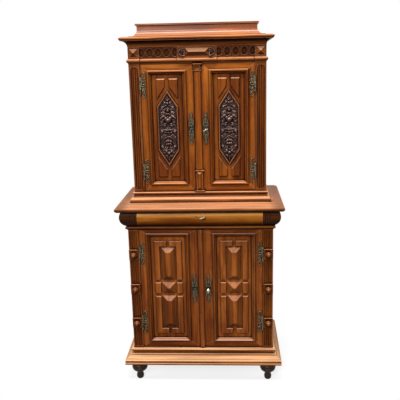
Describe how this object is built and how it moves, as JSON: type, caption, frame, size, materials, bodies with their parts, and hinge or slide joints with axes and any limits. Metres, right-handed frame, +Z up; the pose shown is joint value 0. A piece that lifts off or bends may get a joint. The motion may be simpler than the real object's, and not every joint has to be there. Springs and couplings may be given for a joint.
{
  "type": "buffet",
  "caption": "Tall two-body walnut buffet in Renaissance revival style: carved upper doors, hipped lower panels, full-width drawer, table ledge, cornice and turned feet, with working locks",
  "frame": {"origin": "on the floor, below the middle of the table ledge's outline", "axes": "X to the viewer's right when facing the doors, Y to the back, Z up"},
  "size_m": [0.95, 0.55, 2.084],
  "materials": {
    "walnut": "waxed walnut, worn paler on edges",
    "walnut_panel": "waxed dark walnut",
    "walnut_dark": "dark stained, semi-gloss",
    "secondary_wood": "plain unpolished boards",
    "bronze": "aged, rubbed bright on edges",
    "key_metal": "handled bright metal",
    "lock_iron": "dull oiled iron"
  },
  "bodies": {
    "case": {"cornice_moulding": "walnut", "crown_hood": "walnut", "crown_top_board": "walnut", "drawer_runners": "secondary_wood", "feet": "walnut_dark", "frieze_blocks": "lock_iron", "frieze_boards": "walnut_dark", "frieze_fretwork": "walnut", "hinge_post_leaves": "bronze", "lower_back_panel": "secondary_wood", "lower_case_boards": "secondary_wood", "lower_posts": "walnut", "lower_sides": "walnut", "necking_band": "walnut", "plinth_moulding": "walnut", "rosettes": "walnut", "shelf_cleats": "secondary_wood", "shelves": "secondary_wood", "table_top": "walnut", "upper_back_panel": "secondary_wood", "upper_base_moulding": "walnut", "upper_case_boards": "secondary_wood", "upper_posts": "walnut_panel", "upper_sides": "walnut", "waist_moulding": "walnut", "waist_side_boards": "secondary_wood", "waist_torus": "walnut_dark"},
    "left_upper_door": {"left_upper_frame": "walnut", "left_upper_panel": "walnut_panel", "left_upper_carving": "walnut_dark", "left_upper_hinges": "bronze", "left_upper_escutcheon": "bronze"},
    "right_upper_door": {"right_upper_frame": "walnut", "right_upper_panel": "walnut_panel", "right_upper_carving": "walnut_dark", "right_upper_hinges": "bronze", "right_upper_escutcheon": "bronze", "right_upper_batten": "walnut", "right_upper_lock": "lock_iron"},
    "left_lower_door": {"left_lower_frame": "walnut", "left_lower_panel": "walnut_panel", "left_lower_hinges": "bronze", "left_lower_escutcheon": "bronze"},
    "right_lower_door": {"right_lower_frame": "walnut", "right_lower_panel": "walnut_panel", "right_lower_hinges": "bronze", "right_lower_escutcheon": "bronze", "right_lower_batten": "walnut", "right_lower_lock": "lock_iron"},
    "drawer": {"drawer_front": "walnut", "drawer_box": "secondary_wood", "drawer_lock": "lock_iron"},
    "upper_key": {"upper_key": "key_metal"},
    "lower_key": {"lower_key": "key_metal"},
    "drawer_key": {"drawer_key": "key_metal"},
    "upper_bolt": {"upper_lock_bolt": "lock_iron"},
    "lower_bolt": {"lower_lock_bolt": "lock_iron"},
    "drawer_bolt": {"drawer_lock_bolt": "lock_iron"}
  },
  "joints": [
    {"name": "left_upper_door_hinge", "type": "hinge", "parent": "case", "child": "left_upper_door", "pos_m": [-0.318, -0.1298, 1.5065], "axis": [0, 0, -1], "range_deg": [0, 105]},
    {"name": "right_upper_door_hinge", "type": "hinge", "parent": "case", "child": "right_upper_door", "pos_m": [0.318, -0.1298, 1.5065], "axis": [0, 0, 1], "range_deg": [0, 105]},
    {"name": "left_lower_door_hinge", "type": "hinge", "parent": "case", "child": "left_lower_door", "pos_m": [-0.356, -0.2098, 0.577], "axis": [0, 0, -1], "range_deg": [0, 105]},
    {"name": "right_lower_door_hinge", "type": "hinge", "parent": "case", "child": "right_lower_door", "pos_m": [0.356, -0.2098, 0.577], "axis": [0, 0, 1], "range_deg": [0, 105]},
    {"name": "drawer_slide", "type": "slide", "parent": "case", "child": "drawer", "axis": [0, -1, 0], "range_m": [0, 0.3]},
    {"name": "upper_key_turn", "type": "hinge", "parent": "right_upper_door", "child": "upper_key", "pos_m": [0.0405, -0.12, 1.5005], "axis": [0, 1, 0], "range_deg": [0, 180]},
    {"name": "lower_key_turn", "type": "hinge", "parent": "right_lower_door", "child": "lower_key", "pos_m": [0.0405, -0.2, 0.571], "axis": [0, 1, 0], "range_deg": [0, 180]},
    {"name": "drawer_key_turn", "type": "hinge", "parent": "drawer", "child": "drawer_key", "pos_m": [0.017, -0.22, 1.0247], "axis": [0, 1, 0], "range_deg": [0, 180]},
    {"name": "upper_bolt_slide", "type": "slide", "parent": "right_upper_door", "child": "upper_bolt", "axis": [-1, 0, 0], "range_m": [0, 0.018]},
    {"name": "lower_bolt_slide", "type": "slide", "parent": "right_lower_door", "child": "lower_bolt", "axis": [-1, 0, 0], "range_m": [0, 0.018]},
    {"name": "drawer_bolt_slide", "type": "slide", "parent": "drawer", "child": "drawer_bolt", "axis": [0, 0, 1], "range_m": [0, 0.009]}
  ],
  "couplings": [
    {"joint": "upper_key_turn", "follows": "upper_bolt_slide", "rad_per_m": 174.53},
    {"joint": "lower_key_turn", "follows": "lower_bolt_slide", "rad_per_m": 174.53},
    {"joint": "drawer_key_turn", "follows": "drawer_bolt_slide", "rad_per_m": 349.07}
  ]
}
